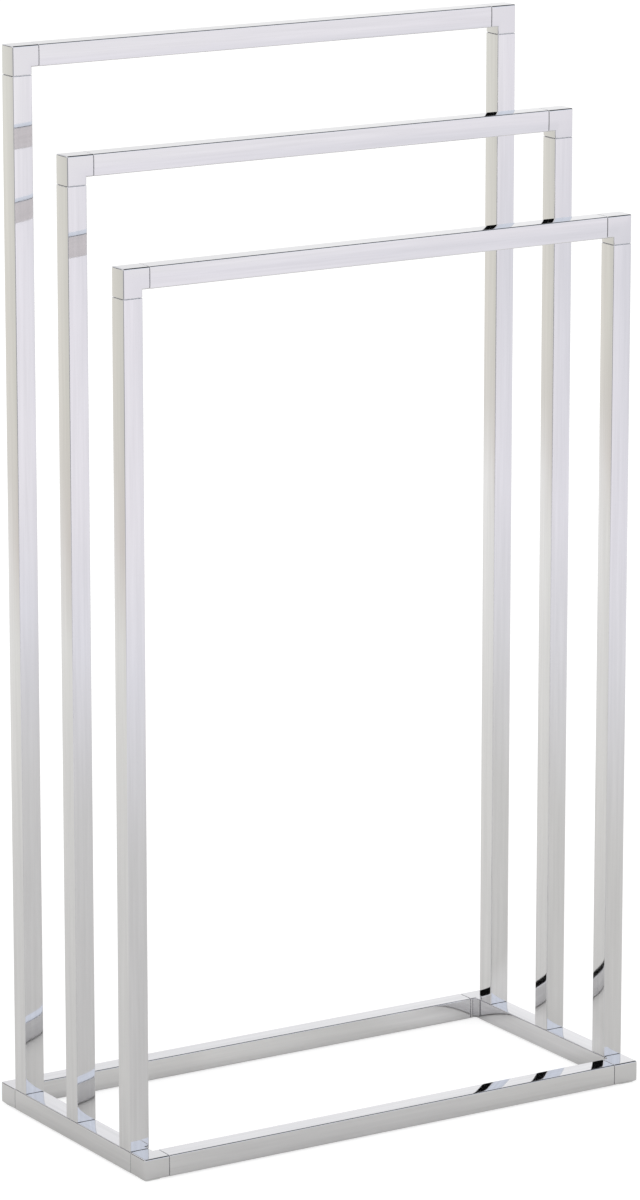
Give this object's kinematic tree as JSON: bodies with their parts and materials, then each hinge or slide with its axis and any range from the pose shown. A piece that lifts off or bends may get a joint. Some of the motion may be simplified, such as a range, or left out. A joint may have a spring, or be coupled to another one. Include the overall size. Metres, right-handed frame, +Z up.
{
  "type": "freestanding towel stand",
  "caption": "Freestanding towel stand of polished square tube: stepped upright frames with one crossbar each, on a rectangular floor frame.",
  "frame": {"origin": "on the floor, at the middle of the base frame", "axes": "+X along the crossbars to the viewer's right, +Y from the lowest frame to the tallest, +Z up"},
  "size_m": [0.478, 0.235, 0.885],
  "materials": {
    "chromed_tube": "polished, plated over 1 mm steel tube",
    "chromed_casting": "polished, plated over a zinc casting",
    "plug_steel": "machined, bare",
    "zinc_plated_steel": "bright zinc plate",
    "foot_pad": "clear grey, soft"
  },
  "bodies": {
    "root": {"front_crossbar": "chromed_tube", "front_left_post": "chromed_tube", "front_right_post": "chromed_tube", "middle_crossbar": "chromed_tube", "middle_left_post": "chromed_tube", "middle_right_post": "chromed_tube", "rear_crossbar": "chromed_tube", "rear_left_post": "chromed_tube", "rear_right_post": "chromed_tube", "base_front_rail": "chromed_tube", "base_rear_rail": "chromed_tube", "base_left_rail": "chromed_tube", "base_right_rail": "chromed_tube", "front_left_elbow": "chromed_casting", "front_right_elbow": "chromed_casting", "middle_left_elbow": "chromed_casting", "middle_right_elbow": "chromed_casting", "rear_left_elbow": "chromed_casting", "rear_right_elbow": "chromed_casting", "base_front_left_corner": "chromed_casting", "base_front_right_corner": "chromed_casting", "base_rear_left_corner": "chromed_casting", "base_rear_right_corner": "chromed_casting", "front_left_post_plug": "plug_steel", "front_right_post_plug": "plug_steel", "middle_left_post_plug": "plug_steel", "middle_right_post_plug": "plug_steel", "rear_left_post_plug": "plug_steel", "rear_right_post_plug": "plug_steel", "front_left_post_bolt": "zinc_plated_steel", "front_right_post_bolt": "zinc_plated_steel", "middle_left_post_bolt": "zinc_plated_steel", "middle_right_post_bolt": "zinc_plated_steel", "rear_left_post_bolt": "zinc_plated_steel", "rear_right_post_bolt": "zinc_plated_steel", "front_left_foot_pad": "foot_pad", "front_right_foot_pad": "foot_pad", "rear_left_foot_pad": "foot_pad", "rear_right_foot_pad": "foot_pad"}
  },
  "joints": []
}
